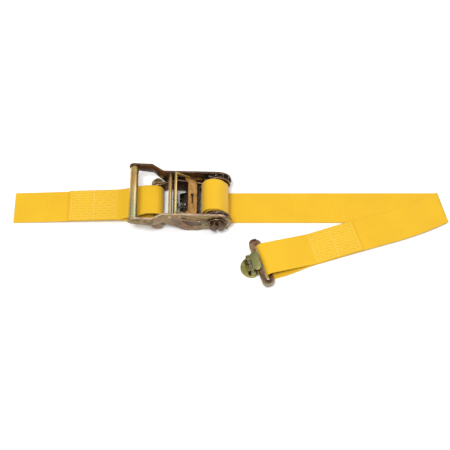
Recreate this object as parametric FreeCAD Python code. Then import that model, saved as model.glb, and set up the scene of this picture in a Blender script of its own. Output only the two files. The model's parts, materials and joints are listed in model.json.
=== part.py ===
import FreeCAD, Part
import math
import os

from FreeCAD import Placement, Rotation, Vector

# Ratchet tie down: a closed hand ratchet for 50 mm webbing, with a short strap sewn round its
# anchor bolt and a long strap wound on its spindle.  The long strap folds back over itself and
# ends in a spring fitting for a slotted cargo track.
# Design frame: X along the straps, Y along the spindle, Z up from the surface it lies on, with
# the spindle axis at X = 0.  The last section moves everything so that the middle of the
# assembly's base is the origin.  Lengths are in millimetres and angles in degrees.

# ---- webbing ----
WEB_WIDTH = 50.0
WEB_THICK = 2.3
SHORT_END_X = -297.0        # cut end of the short strap
SHORT_TAIL_X = -217.0       # where its turned-back layer ends
LOOP_JOIN_X = -142.0        # where the two layers part to go round the anchor
RUN_START_X = 14.8          # where the long strap's run begins, clear of the turning roll
FOLD_X = 328.0              # where the long strap turns back
FOLD_INNER = 0.5            # inner radius of that fold
FOLD_YAW = 28.0             # angle between the long strap and its returning run at the fold
END_YAW = 17.4              # and past the shallow curve that the run lies in
CURVE_LENGTH = 83.0         # length of that curve
TAIL_START = 134.0          # from the fold to the cut end sewn on the returning run
LOOP_START = 205.5          # from the fold to the end of the sewn stretch
RETURN_LENGTH = 273.5       # from the fold to the middle of the end loop
END_LOOP_INNER = 5.4        # inner radius of the end loop

# ---- ratchet ----
SPINDLE_Z = 22.0
ANCHOR_X = -87.0
ANCHOR_Z = 12.0
FRAME_INNER = 27.0          # half the gap between the frame plates
PLATE = 3.0                 # steel plate thickness
GEAR_INNER = 30.4
GEAR_THICK = 3.2
HANDLE_INNER = 34.0         # half the gap between the handle plates
RECESS = 0.6                # depth of the leaf-shaped recess in each handle plate
LEAF = [(-51.0, 29.6), (-44.0, 27.6), (-32.0, 24.2), (-23.0, 21.4), (-21.4, 19.0), (-22.6, 16.0),
        (-26.5, 13.0), (-32.0, 11.2), (-37.0, 11.6), (-42.0, 15.0), (-46.5, 20.0), (-50.2, 26.0)]
FLARE = 9.5                 # how far each handle plate steps out at the grip
GRIP_X = -119.8
GRIP_Z = 43.5
GRIP_RADIUS = 6.2
SPACER_X = -67.3
SPACER_Z = 39.0
SPACER_RADIUS = 2.8
TENON = (4.6, 3.0)          # size of the spacer's ends, where they pass through the plates
RUNNING_FIT = 0.06          # radial clearance of a turning shaft

# ---- spindle and gears ----
SPINDLE_RADIUS = 10.5
SPINDLE_SLOT = 5.0
NEAR_END = 45.5             # from the middle to the spindle's near end, which has a split pin
FAR_END = 41.4              # and to its far end, which has a retaining ring
# outer radius of the oval roll at each eighth of a turn, from where the strap leaves below
ROLL_RADII = (21.9, 22.5, 22.9, 24.2, 20.4, 15.9, 16.9, 18.2, 17.3)
ROLL_FLAP = 9.5             # the roll's outer layer lies flat as far as this X
TEETH = 12
GEAR_TIP = 21.0
GEAR_ROOT = 16.5
PIN_Y = 42.2                # the split pin
PIN_RADIUS = 1.5
PIN_TURN = 112.0            # from upright, about the spindle axis

# ---- pawls: flat plates that slide along a ray from the spindle axis ----
DRIVE_ANGLE = 164.0
LOCK_ANGLE = 194.0
PAWL_THICK = 3.0
DRIVE_TIP = 22.0            # parked just outside the gear teeth
LOCK_TIP = 17.1             # engaged in the gear teeth
PULL_BAR_ALONG = 64.1
PULL_BAR_ABOVE = 7.1

# ---- anchor bolt ----
BOLT_RADIUS = 5.0
HEX_FLATS = 17.0
HEAD_THICK = 6.5
NUT_THICK = 9.0
BOLT_END = 41.6
SLEEVE_RADIUS = 6.0
STRAP_LOOP_INNER = 10.1
STRAP_LOOP_FRONT = (-90.6, 12.6)    # centres of the two bends of the loose loop about the anchor
STRAP_LOOP_BACK = (-102.0, 12.8)

# ---- track fitting, in its own frame: U to the nose, V across, W up, from its web bar ----
NOSE_DOWN = 1.0             # its pitch as it lies on its nose
FITTING_ASIDE = 3.2         # how far it has slid along its web bar
BAR_AHEAD = 1.7             # from the middle of the strap's end loop to the web bar
FITTING_PLATE = 3.0
BAR_HALF = 3.0
SLOT_FRONT = 7.2
SLOT_HALF = 29.6
WING_HALF = 38.5
WING_FRONT = 14.5
NECK_HALF = 14.5
NOSE_RADIUS = 15.8
NOSE_BACK = 17.4
NOSE_FRONT = 36.8
NOSE_DROP = 5.3
LATCH_PIN_U = 22.0
LATCH_PIN_W = 4.6


def cylinder_y(x, z, radius, y0, y1):
    """A round bar along Y."""
    return Part.makeCylinder(radius, y1 - y0, Vector(x, y0, z), Vector(0, 1, 0))


def slab(points, y0, y1):
    """A polygon in the XZ plane made solid from y0 to y1."""
    corners = [Vector(x, y0, z) for x, z in points]
    face = Part.Face(Part.makePolygon(corners + corners[:1]))
    return face.extrude(Vector(0, y1 - y0, 0))


def mirrored(shape):
    """The same piece on the other side of the XZ plane."""
    return shape.mirror(Vector(0, 0, 0), Vector(0, 1, 0))


def fused(shapes):
    whole = shapes[0].fuse(shapes[1:]) if len(shapes) > 1 else shapes[0]
    return whole.removeSplitter()


def polar(angle, along, above=0.0):
    """The XZ point at a distance along a ray from the spindle axis, and above it."""
    c = math.cos(math.radians(angle))
    s = math.sin(math.radians(angle))
    return (along * c + above * s, SPINDLE_Z + along * s - above * c)


def ray_block(angle, along, above, across):
    """A block given by its ranges along a ray, above it, and across it in Y."""
    corners = [
        polar(angle, along[0], above[0]),
        polar(angle, along[1], above[0]),
        polar(angle, along[1], above[1]),
        polar(angle, along[0], above[1]),
    ]
    return slab(corners, across[0], across[1])


def hexagon(x, z, flats, y0, y1):
    """A hexagonal prism along Y with a flat on top."""
    corner = flats / math.sqrt(3.0)
    points = []
    for i in range(6):
        turn = math.radians(60.0 * i)
        points.append((x + corner * math.cos(turn), z + corner * math.sin(turn)))
    return slab(points, y0, y1)


def tangent_points(centre, radius, point):
    """The two points where lines from an outside point touch a circle, upper one first."""
    dx = point[0] - centre[0]
    dz = point[1] - centre[1]
    away = math.hypot(dx, dz)
    base = math.atan2(dz, dx)
    spread = math.acos(radius / away)
    touches = []
    for sign in (-1.0, 1.0):
        turn = base + sign * spread
        touches.append((centre[0] + radius * math.cos(turn), centre[1] + radius * math.sin(turn)))
    return sorted(touches, key=lambda p: -p[1])


def teardrop(centre, radius, upper, lower, y0, y1):
    """A round end joined by tangents to an upper and a lower point."""
    top = tangent_points(centre, radius, upper)[0]
    bottom = tangent_points(centre, radius, lower)[1]
    wedge = slab([upper, top, centre, bottom, lower], y0, y1)
    return wedge.fuse(cylinder_y(centre[0], centre[1], radius, y0, y1))


# ---------------------------------------------------------------- frame
def frame_plate():
    """The far side plate, with holes for the spindle, the anchor bolt and the lock pawl."""
    y0 = FRAME_INNER
    y1 = FRAME_INNER + PLATE
    anchor_round = 10.5
    under_pawl = -(PAWL_THICK / 2 + 0.9)
    outline = [
        polar(DRIVE_ANGLE, 17.0, under_pawl),
        polar(DRIVE_ANGLE, 60.0, under_pawl - 1.0),
        (ANCHOR_X + 15.0, 29.5),
        (ANCHOR_X + 4.0, ANCHOR_Z + 9.7),
        (ANCHOR_X, ANCHOR_Z),
        (ANCHOR_X + 4.0, ANCHOR_Z - 9.7),
        (-66.0, 8.0),
        (-52.0, 4.4),
        (-20.0, 3.4),
        (-3.0, 3.3),
        (0.0, SPINDLE_Z),
    ]
    plate = slab(outline, y0, y1)
    plate = plate.fuse([
        cylinder_y(0, SPINDLE_Z, 19.0, y0, y1),
        cylinder_y(ANCHOR_X, ANCHOR_Z, anchor_round, y0, y1),
    ])
    openings = [
        cylinder_y(0, SPINDLE_Z, SPINDLE_RADIUS + RUNNING_FIT, y0 - 1, y1 + 1),
        cylinder_y(ANCHOR_X, ANCHOR_Z, BOLT_RADIUS, y0 - 1, y1 + 1),
        ray_block(LOCK_ANGLE, (16.4, 46.0), (-1.85, 1.85), (y0 - 1, y1 + 1)),
        slab(cross_plate_tab(), y0 - 1, y1 + 1),
    ]
    return plate.cut(openings).removeSplitter()


def cross_plate_tab():
    """The XZ outline of the cross plate's end where it passes through a side plate."""
    return [(-64.0, 14.0), (-60.6, 14.0), (-60.6, 22.0), (-64.0, 22.0)]


def frame_cross_plate():
    """The upright plate that ties the side plates and seats the lock pawl's spring."""
    middle = slab([(-64.0, 3.0), (-60.6, 3.0), (-60.6, 24.0), (-64.0, 24.0)], -26.9, 26.9)
    tabs = slab(cross_plate_tab(), -(FRAME_INNER + PLATE + 0.2), FRAME_INNER + PLATE + 0.2)
    return fused([middle, tabs])


def anchor_bolt():
    head = hexagon(ANCHOR_X, ANCHOR_Z, HEX_FLATS, -(FRAME_INNER + PLATE + HEAD_THICK),
                   -(FRAME_INNER + PLATE))
    cone = Part.makeCone(7.2, 11.2, 8.0, Vector(ANCHOR_X, -37.4, ANCHOR_Z), Vector(0, 1, 0))
    shank = cylinder_y(ANCHOR_X, ANCHOR_Z, BOLT_RADIUS, -(FRAME_INNER + PLATE), BOLT_END)
    return fused([head.common(cone), shank])


def anchor_nut():
    y0 = FRAME_INNER + PLATE
    nut = hexagon(ANCHOR_X, ANCHOR_Z, HEX_FLATS, y0, y0 + NUT_THICK)
    cone = Part.makeCone(13.3, 7.6, 10.0, Vector(ANCHOR_X, y0, ANCHOR_Z), Vector(0, 1, 0))
    return nut.common(cone).cut(cylinder_y(ANCHOR_X, ANCHOR_Z, BOLT_RADIUS, y0 - 1, y0 + 12))


def anchor_sleeve():
    end = FRAME_INNER - 0.1
    sleeve = cylinder_y(ANCHOR_X, ANCHOR_Z, SLEEVE_RADIUS, -end, end)
    return sleeve.cut(cylinder_y(ANCHOR_X, ANCHOR_Z, BOLT_RADIUS, -end - 1, end + 1))


# ---------------------------------------------------------------- spindle
def spindle_half(side):
    """One of the two half-round bars, with the webbing's slot between them; side is 1 or -1."""
    bar = cylinder_y(0, SPINDLE_Z, SPINDLE_RADIUS, -NEAR_END, FAR_END)
    flat = side * SPINDLE_SLOT / 2
    reach = side * (SPINDLE_RADIUS + 1)
    keep = slab(
        [(flat, SPINDLE_Z - 12), (flat, SPINDLE_Z + 12), (reach, SPINDLE_Z + 12),
         (reach, SPINDLE_Z - 12)], -NEAR_END - 1, FAR_END + 1)
    turn = math.radians(PIN_TURN)
    along = Vector(math.sin(turn), 0, math.cos(turn))
    pin_middle = Vector(0, -PIN_Y, SPINDLE_Z)
    hole = Part.makeCylinder(PIN_RADIUS + 0.1, 30, pin_middle - along * 15, along)
    return bar.common(keep).cut(hole)


def ratchet_gear():
    """The far gear: saw teeth whose steep faces stop the strap from running back."""
    steep = 6.2
    points = []
    for i in range(TEETH):
        gap = LOCK_ANGLE + i * 360.0 / TEETH
        for radius, turn in ((GEAR_ROOT, -steep), (GEAR_ROOT, steep), (GEAR_TIP, 19.5),
                             (GEAR_TIP, 360.0 / TEETH - steep)):
            points.append(polar(gap + turn, radius))
    wheel = slab(points, GEAR_INNER, GEAR_INNER + GEAR_THICK)
    return wheel.cut([spindle_half(1), spindle_half(-1)])


def spindle_washer():
    y0 = HANDLE_INNER + PLATE + 0.3
    ring = cylinder_y(0, SPINDLE_Z, 13.8, y0, y0 + 2.0)
    return ring.cut(cylinder_y(0, SPINDLE_Z, SPINDLE_RADIUS, y0 - 1, y0 + 4))


def split_pin():
    """A split pin through both halves, with its ring at one side and its spread legs at the other."""
    reach = 12.2
    shank = Part.makeCylinder(PIN_RADIUS, 2 * reach, Vector(0, -PIN_Y, SPINDLE_Z - reach))
    ring = Part.makeTorus(1.9, 1.0, Vector(0, -PIN_Y, SPINDLE_Z + reach + 1.6), Vector(0, 1, 0))
    legs = [
        Part.makeCylinder(0.9, 5.5, Vector(0, -PIN_Y, SPINDLE_Z - reach + 0.6),
                          Vector(side * 0.9, 0, -0.45))
        for side in (-1, 1)
    ]
    pin = fused([shank, ring] + legs)
    pin.rotate(Vector(0, -PIN_Y, SPINDLE_Z), Vector(0, 1, 0), PIN_TURN)
    return pin


def retaining_ring():
    """An open spring ring round the far end of the spindle, with a lug at each side of its gap."""
    y0 = HANDLE_INNER + PLATE + 2.5
    y1 = y0 + 1.2
    ring = cylinder_y(0, SPINDLE_Z, SPINDLE_RADIUS + 2.0, y0, y1)
    lugs = [cylinder_y(side * 3.0, SPINDLE_Z + 12.4, 1.7, y0, y1) for side in (-1, 1)]
    gap = slab([(-1.3, SPINDLE_Z), (1.3, SPINDLE_Z), (1.3, SPINDLE_Z + 15),
                (-1.3, SPINDLE_Z + 15)], y0 - 1, y1 + 1)
    shaft = cylinder_y(0, SPINDLE_Z, SPINDLE_RADIUS, y0 - 1, y1 + 1)
    return fused([ring] + lugs).cut([gap, shaft])


def webbing_roll():
    """The wound webbing: an oval spiral whose outer layer leaves flat along the bottom."""
    steps = len(ROLL_RADII) - 1
    course = [
        polar(270.0 - 360.0 * i / steps, radius) for i, radius in enumerate(ROLL_RADII)
    ]
    half = WEB_WIDTH / 2
    curve = Part.BSplineCurve()
    curve.interpolate([Vector(x, -half, z) for x, z in course])
    closing = Part.LineSegment(Vector(course[-1][0], -half, course[-1][1]),
                               Vector(course[0][0], -half, course[0][1]))
    outline = Part.Wire([curve.toShape(), closing.toShape()])
    roll = Part.Face(outline).extrude(Vector(0, WEB_WIDTH, 0))
    roll = roll.cut(cylinder_y(0, SPINDLE_Z, SPINDLE_RADIUS + 0.1, -half - 1, half + 1))
    bottom = SPINDLE_Z - ROLL_RADII[0]
    flap = slab([(0, bottom), (ROLL_FLAP, bottom), (ROLL_FLAP, bottom + WEB_THICK),
                 (0, bottom + WEB_THICK)], -half, half)
    inside = [(-1.15, SPINDLE_Z - 11.5), (1.15, SPINDLE_Z - 11.5),
              (1.15, SPINDLE_Z + 11.5), (-1.15, SPINDLE_Z + 11.5)]
    return fused([roll, flap, slab(inside, -half, half)])


# ---------------------------------------------------------------- handle
def handle_plate():
    """The far handle plate: a deep cam round the spindle that steps out to the grip."""
    low = HANDLE_INNER - 5
    high = HANDLE_INNER + FLARE + 10
    cam = 20.5
    outline = [
        (0.0, SPINDLE_Z + cam),
        (-77.0, 45.6),
        (-93.0, 48.8),
        (GRIP_X, GRIP_Z + 7.5),
        (GRIP_X, GRIP_Z - 7.5),
        (-92.0, 29.5),
        (-77.0, 21.0),
        (-61.0, 12.0),
        (-50.0, 3.0),
        (-44.0, 0.0),
        (-29.0, 0.0),
        (-20.0, 4.4),
        (-8.0, 3.1),
        (0.0, SPINDLE_Z - 5),
    ]
    profile = slab(outline, low, high)
    profile = profile.fuse([
        cylinder_y(0, SPINDLE_Z, cam, low, high),
        cylinder_y(GRIP_X, GRIP_Z, 7.5, low, high),
    ])
    y0 = HANDLE_INNER
    y1 = HANDLE_INNER + PLATE
    plan = [
        (30, y0), (-77, y0), (-93, y0 + FLARE), (-135, y0 + FLARE),
        (-135, y1 + FLARE), (-93.8, y1 + FLARE), (-77.8, y1), (30, y1),
    ]
    corners = [Vector(x, y, -5) for x, y in plan]
    band = Part.Face(Part.makePolygon(corners + corners[:1])).extrude(Vector(0, 0, 70))
    rim = ray_block(DRIVE_ANGLE, (24.0, 56.0), (-4.4, 4.4), (y1 - 0.5, y1 + 0.9))
    ends = [cylinder_y(*polar(DRIVE_ANGLE, at), 4.4, y1 - 0.5, y1 + 0.9) for at in (24.0, 56.0)]
    plate = band.common(profile).fuse([rim] + ends)
    openings = [
        cylinder_y(0, SPINDLE_Z, SPINDLE_RADIUS + RUNNING_FIT, y0 - 1, y1 + 1),
        cylinder_y(GRIP_X, GRIP_Z, 4.0, y0, y1 + FLARE + 1),
        Part.makeBox(TENON[0], PLATE + 2, TENON[1], Vector(
            SPACER_X - TENON[0] / 2, y0 - 1, SPACER_Z - TENON[1] / 2)),
        ray_block(DRIVE_ANGLE, (24.6, 53.0), (-1.9, 1.9), (y0 - 1, y1 + 2)),
        slab(LEAF, y1 - RECESS, y1 + 1),
        slab([(-35.6, 12.7), (-25.4, 14.6), (-25.4, 16.1), (-35.6, 14.2)], y0 - 1, y1 + 1),
    ]
    return plate.cut(openings).removeSplitter()


def grip_tube():
    end = HANDLE_INNER + FLARE
    tube = cylinder_y(GRIP_X, GRIP_Z, GRIP_RADIUS, -end, end)
    return tube.cut(cylinder_y(GRIP_X, GRIP_Z, 4.0, -end - 1, end + 1))


def grip_rod():
    """The rod through the grip tube, riveted over outside the handle plates."""
    face = HANDLE_INNER + PLATE + FLARE
    caps = [
        Part.makeCone(5.4, 3.2, 1.0, Vector(GRIP_X, side * face, GRIP_Z), Vector(0, side, 0))
        for side in (-1, 1)
    ]
    return fused([cylinder_y(GRIP_X, GRIP_Z, 4.0, -face, face)] + caps)


def handle_spacer_rod():
    """The rod between the handle plates, with flat tenons peened through them."""
    shoulder = HANDLE_INNER
    tenon = Part.makeBox(TENON[0], 2 * (shoulder + PLATE + 0.8), TENON[1], Vector(
        SPACER_X - TENON[0] / 2, -(shoulder + PLATE + 0.8), SPACER_Z - TENON[1] / 2))
    return fused([cylinder_y(SPACER_X, SPACER_Z, SPACER_RADIUS, -shoulder, shoulder), tenon])


# ---------------------------------------------------------------- pawls
def pawl_plate(angle, outline):
    """A flat plate on a ray, from (distance along, Y) corners."""
    x0, z0 = polar(angle, 0.0, -PAWL_THICK / 2)
    x1, z1 = polar(angle, 0.0, PAWL_THICK / 2)
    corners = []
    for along, y in outline:
        x, z = polar(angle, along, -PAWL_THICK / 2)
        corners.append(Vector(x, y, z))
    face = Part.Face(Part.makePolygon(corners + corners[:1]))
    return face.extrude(Vector(x1 - x0, 0, z1 - z0))


def both_sides(half):
    """A closed outline from the corners of its far half, listed away from the middle and back."""
    return half + [(along, -y) for along, y in reversed(half)]


def upright_hole(angle, along, y, radius):
    """A round hole square to a pawl plate."""
    x, z = polar(angle, along, -4.0)
    up_x, up_z = polar(angle, along, 4.0)
    return Part.makeCylinder(radius, 8.0, Vector(x, y, z), Vector(up_x - x, 0, up_z - z))


def drive_pawl():
    """The handle's pawl: a narrow plate with T ends whose tips reach the gears."""
    tip = DRIVE_TIP
    half = [
        (30.5, 0.0), (30.5, 24.0), (32.5, GEAR_INNER), (tip, GEAR_INNER + 0.1), (tip, 33.6),
        (30.5, 33.6), (30.5, 37.4), (46.0, 37.4), (46.0, 33.6), (48.0, 33.6), (48.0, 27.0),
        (44.0, 23.5), (44.0, 0.0),
    ]
    plate = pawl_plate(DRIVE_ANGLE, both_sides(half))
    keyhole = [
        upright_hole(DRIVE_ANGLE, 38.0, 3.0, 2.3),
        upright_hole(DRIVE_ANGLE, 37.4, -9.0, 1.4),
        ray_block(DRIVE_ANGLE, (37.0, 38.6), (-4, 4), (-9.0, 3.0)),
    ]
    return plate.cut(keyhole).removeSplitter()


def pawl_pull_bar():
    """The finger bar and the two arms by which it draws the drive pawl back."""
    at = PULL_BAR_ALONG
    up = PULL_BAR_ABOVE
    bar = ray_block(DRIVE_ANGLE, (at - 1.7, at + 1.7), (up - 2.6, up + 2.6), (-33.4, 33.4))
    shapes = [bar]
    for side in (-1, 1):
        edges = sorted((side * 30.6, side * 33.4))
        arm = [
            polar(DRIVE_ANGLE, 40.0, PAWL_THICK / 2), polar(DRIVE_ANGLE, at - 4, PAWL_THICK / 2),
            polar(DRIVE_ANGLE, at + 1.7, up - 2.6), polar(DRIVE_ANGLE, at + 1.7, up + 2.0),
            polar(DRIVE_ANGLE, at - 3, up + 1.0), polar(DRIVE_ANGLE, 44.0, PAWL_THICK / 2 + 3.2),
        ]
        shapes.append(slab(arm, edges[0], edges[1]))
    return fused(shapes)


def lock_pawl():
    """The frame's pawl: tips in both gears, and a notched tail that holds its spring."""
    tip = LOCK_TIP
    half = [
        (26.0, 0.0), (26.0, 26.4), (tip, 26.4), (tip, 33.5), (39.5, 33.5), (39.5, 26.4),
        (47.0, 26.0), (47.0, 20.0), (56.3, 19.0), (56.3, 5.0), (46.5, 5.0), (46.5, 1.4),
        (55.0, 1.4), (55.0, 0.0),
    ]
    return pawl_plate(LOCK_ANGLE, both_sides(half))


def coil(angle, start, stop, y, outer, inner):
    """The envelope of a compression spring along a ray."""
    x, z = polar(angle, start)
    end_x, end_z = polar(angle, stop)
    axis = Vector(end_x - x, 0, end_z - z)
    base = Vector(x, y, z)
    return Part.makeCylinder(outer, stop - start, base, axis).cut(
        Part.makeCylinder(inner, stop - start, base, axis))


def drive_pawl_springs():
    springs = [coil(DRIVE_ANGLE, 48.4, 64.6, y, 1.15, 0.6) for y in (-32.0, 32.0)]
    return Part.makeCompound(springs)


def lock_pawl_spring():
    return coil(LOCK_ANGLE, 46.8, 60.8, 0.0, 3.6, 2.4)


# ---------------------------------------------------------------- straps
def long_loop(radius, upper, lower, y0, y1):
    """The anchor loop's outline: a teardrop about its back bend, carried on to its front bend."""
    back = Vector(STRAP_LOOP_BACK[0], 0, STRAP_LOOP_BACK[1])
    front = Vector(STRAP_LOOP_FRONT[0], 0, STRAP_LOOP_FRONT[1])
    rise = Vector(0, 1, 0).cross(front - back).normalize() * radius
    corners = [back + rise, front + rise, front - rise, back - rise]
    between = slab([(c.x, c.z) for c in corners], y0, y1)
    return fused([teardrop(STRAP_LOOP_BACK, radius, upper, lower, y0, y1), between,
                  cylinder_y(front.x, front.z, radius, y0, y1)])


def short_strap():
    """The anchor loop, its sewn double stretch and the single stretch that lies down."""
    y0 = -WEB_WIDTH / 2
    y1 = WEB_WIDTH / 2
    join_z = 11.0
    end_z = WEB_THICK
    slope = (join_z - end_z) / (LOOP_JOIN_X - SHORT_END_X)

    def middle(x):
        return join_z + slope * (x - LOOP_JOIN_X)

    outer = long_loop(STRAP_LOOP_INNER + WEB_THICK, (LOOP_JOIN_X, join_z + WEB_THICK),
                      (LOOP_JOIN_X, join_z - WEB_THICK), y0, y1)
    start = (LOOP_JOIN_X + 0.5, join_z)
    hollow = long_loop(STRAP_LOOP_INNER, start, start, y0 - 1, y1 + 1)
    lower = slab([
        (SHORT_END_X, end_z), (LOOP_JOIN_X, join_z),
        (LOOP_JOIN_X, join_z - WEB_THICK), (SHORT_END_X, end_z - WEB_THICK)], y0, y1)
    upper = slab([
        (SHORT_TAIL_X, middle(SHORT_TAIL_X)), (LOOP_JOIN_X, join_z),
        (LOOP_JOIN_X, join_z + WEB_THICK),
        (SHORT_TAIL_X, middle(SHORT_TAIL_X) + WEB_THICK)], y0, y1)
    return fused([outer.cut(hollow), lower, upper])


def return_frame(along):
    """A placement on the returning run's centreline, facing along it, at a distance from the fold."""
    start = math.radians(FOLD_YAW)
    bend = math.radians(FOLD_YAW - END_YAW) / CURVE_LENGTH
    curved = min(along, CURVE_LENGTH)
    yaw = start - bend * curved
    straight = along - curved
    x = FOLD_X - (math.sin(start) - math.sin(yaw)) / bend - straight * math.cos(yaw)
    y = -(math.cos(yaw) - math.cos(start)) / bend - straight * math.sin(yaw)
    return Placement(Vector(x, y, 0), Rotation(Vector(0, 0, 1), 180.0 + math.degrees(yaw)))


def curved_layer(stations, thick):
    """Part of the returning run, through (distance from the fold, underside height) stations."""
    half = WEB_WIDTH / 2
    fine = []
    for (s0, z0), (s1, z1) in zip(stations, stations[1:]):
        parts = max(1, round((s1 - s0) / 22.0))
        fine += [(s0 + (s1 - s0) * i / parts, z0 + (z1 - z0) * i / parts) for i in range(parts)]
    fine.append(stations[-1])
    sections = []
    for along, low in fine:
        corners = [Vector(0, -half, low), Vector(0, half, low),
                   Vector(0, half, low + thick), Vector(0, -half, low + thick)]
        section = Part.makePolygon(corners + corners[:1])
        section.Placement = return_frame(along)
        sections.append(section)
    return Part.makeLoft(sections, True, True)


def main_strap():
    """The run along the surface, the fold, and the returning run with its sewn end loop."""
    y0 = -WEB_WIDTH / 2
    y1 = WEB_WIDTH / 2
    lean = FOLD_YAW / 2
    reach = 100.0
    beyond_fold = Part.makeBox(reach, 2 * reach, 60, Vector(0, -reach, -20))
    beyond_fold.Placement = Placement(Vector(FOLD_X, 0, 0), Rotation(Vector(0, 0, 1), lean))
    run = Part.makeBox(FOLD_X + 20 - RUN_START_X, WEB_WIDTH, WEB_THICK, Vector(RUN_START_X, y0, 0))
    run = run.cut(beyond_fold)

    top = WEB_THICK + 2 * FOLD_INNER
    on_run = WEB_THICK + 0.1
    single = [(-20.0, top), (2.0, top), (20.0, on_run), (TAIL_START, on_run)]
    double = [(TAIL_START, on_run), (150.0, on_run), (196.0, 0.0), (LOOP_START, 0.0)]
    back = curved_layer(single, WEB_THICK).cut(beyond_fold)
    sewn = curved_layer(double, 2 * WEB_THICK)

    outer_radius = END_LOOP_INNER + WEB_THICK
    centre = (RETURN_LENGTH - LOOP_START, outer_radius)
    outer = teardrop(centre, outer_radius, (0.0, 2 * WEB_THICK), (0.0, 0.0), y0, y1)
    start = (0.5, WEB_THICK)
    hollow = teardrop(centre, END_LOOP_INNER, start, start, y0 - 1, y1 + 1)
    loop = outer.cut(hollow)
    loop.Placement = return_frame(LOOP_START)

    half = WEB_WIDTH / 2 / math.cos(math.radians(lean))
    bend_z = WEB_THICK + FOLD_INNER
    bend = cylinder_y(FOLD_X, bend_z, FOLD_INNER + WEB_THICK, -half, half)
    bend = bend.cut(cylinder_y(FOLD_X, bend_z, FOLD_INNER, -half, half))
    bend = bend.common(Part.makeBox(20, 2 * half, 20, Vector(FOLD_X, -half, 0)))
    bend.rotate(Vector(FOLD_X, 0, 0), Vector(0, 0, 1), lean)
    return fused([run, back, sewn, loop, bend])


# ---------------------------------------------------------------- track fitting
def rounded_block(u0, u1, v0, v1, w0, w1, radius):
    """A block with its four upright edges rounded."""
    block = Part.makeBox(u1 - u0, v1 - v0, w1 - w0, Vector(u0, v0, w0))
    uprights = [e for e in block.Edges if abs(e.Vertexes[0].Z - e.Vertexes[1].Z) > 1e-6]
    return block.makeFillet(radius, uprights)


def fitting_frame():
    bar = return_frame(RETURN_LENGTH + BAR_AHEAD)
    bar.Base.z = END_LOOP_INNER + WEB_THICK
    slid = Placement(Vector(0, FITTING_ASIDE, 0), Rotation(Vector(0, 1, 0), NOSE_DOWN))
    return bar.multiply(slid)


def wing_rims():
    """The turned-up edge round the front corner of each wing."""
    half = FITTING_PLATE / 2
    top = half + 2.6
    ring = rounded_block(-BAR_HALF, WING_FRONT, -WING_HALF, WING_HALF, half - 0.5, top, 8.0)
    inner = rounded_block(-BAR_HALF - 9, WING_FRONT - 2.2, -WING_HALF + 2.2, WING_HALF - 2.2,
                          half - 1, top + 1, 5.8)
    ring = ring.cut([inner, Part.makeBox(20, 2 * NECK_HALF + 1, 9, Vector(0, -NECK_HALF - 0.5, 0))])
    return ring.common(Part.makeBox(20, 90, 20, Vector(2.0, -45, -5)))


def fitting_body():
    """Winged plate with a webbing slot, a dropped neck, and a D nose for the track."""
    half = FITTING_PLATE / 2
    low = -NOSE_DROP - half
    wings = rounded_block(-BAR_HALF, WING_FRONT, -WING_HALF, WING_HALF, -half, half, 8.0)
    slot = rounded_block(BAR_HALF, SLOT_FRONT, -SLOT_HALF, SLOT_HALF, -5, 5, 1.9)
    step_points = [
        (WING_FRONT - 2, half), (WING_FRONT - 2, -half), (NOSE_BACK - 0.6, low),
        (NOSE_BACK + 4, low), (NOSE_BACK + 4, low + FITTING_PLATE),
        (NOSE_BACK + 0.7, low + FITTING_PLATE), (WING_FRONT + 1, half),
    ]
    step = slab(step_points, -NECK_HALF, NECK_HALF)
    block = rounded_block(NOSE_BACK, NOSE_FRONT + 8, -NOSE_RADIUS, NOSE_RADIUS,
                          low, low + FITTING_PLATE, 4.0)
    disc = Part.makeCylinder(NOSE_RADIUS, FITTING_PLATE, Vector(NOSE_FRONT - NOSE_RADIUS, 0, low))
    nose = block.common(disc)
    windows = [
        rounded_block(20.2, 28.2, v0, v0 + 7.4, -12, 6, 1.2) for v0 in (-12.6, 5.2)
    ]
    lugs = []
    for v0 in (-NECK_HALF, NECK_HALF - 1.8):
        lugs.append(Part.makeBox(7.0, 1.8, 11.5, Vector(LATCH_PIN_U - 3.5, v0, low + 2.0)))
    hole = Part.makeCylinder(1.55, 40, Vector(LATCH_PIN_U, -20, LATCH_PIN_W), Vector(0, 1, 0))
    body = wings.fuse([step, nose, wing_rims()] + lugs)
    return body.cut([slot, hole] + windows).removeSplitter()


def fitting_pin():
    end = NECK_HALF + 0.8
    return Part.makeCylinder(1.55, 2 * end, Vector(LATCH_PIN_U, -end, LATCH_PIN_W),
                             Vector(0, 1, 0))


def fitting_latch():
    """The thumb plate on its pin, with two prongs that drop through the nose plate."""
    thumb = rounded_block(-6.1, 6.1, -14.0, 14.0, -1.2, 1.2, 5.9)
    thumb.Placement = Placement(Vector(14.8, 0, 11.0), Rotation(Vector(0, 1, 0), 18.0))
    shapes = [thumb]
    across = 5.4
    for v0 in (-11.6, 6.2):
        ear = slab([(23.6, 5.6), (20.8, 2.2), (13.2, 9.6), (14.6, 11.6), (19.8, 9.6)],
                   v0, v0 + across)
        boss = cylinder_y(LATCH_PIN_U, LATCH_PIN_W, 2.9, v0, v0 + across)
        prong = Part.makeBox(2.6, across, 9.0, Vector(LATCH_PIN_U - 0.4, v0, LATCH_PIN_W - 9.4))
        shapes += [ear, boss, prong]
    bore = cylinder_y(LATCH_PIN_U, LATCH_PIN_W, 1.55 + RUNNING_FIT, -20, 20)
    return fused(shapes).cut(bore)


def fitting_spring():
    """The envelope of the torsion spring coiled on the latch pin."""
    outer = cylinder_y(LATCH_PIN_U, LATCH_PIN_W, 2.9, -4.5, 4.5)
    return outer.cut(cylinder_y(LATCH_PIN_U, LATCH_PIN_W, 1.9, -4.5, 4.5))


# ---------------------------------------------------------------- assembly
def placed(shape):
    """A piece of the track fitting where it lies."""
    shape.Placement = fitting_frame().multiply(shape.Placement)
    return shape


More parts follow.
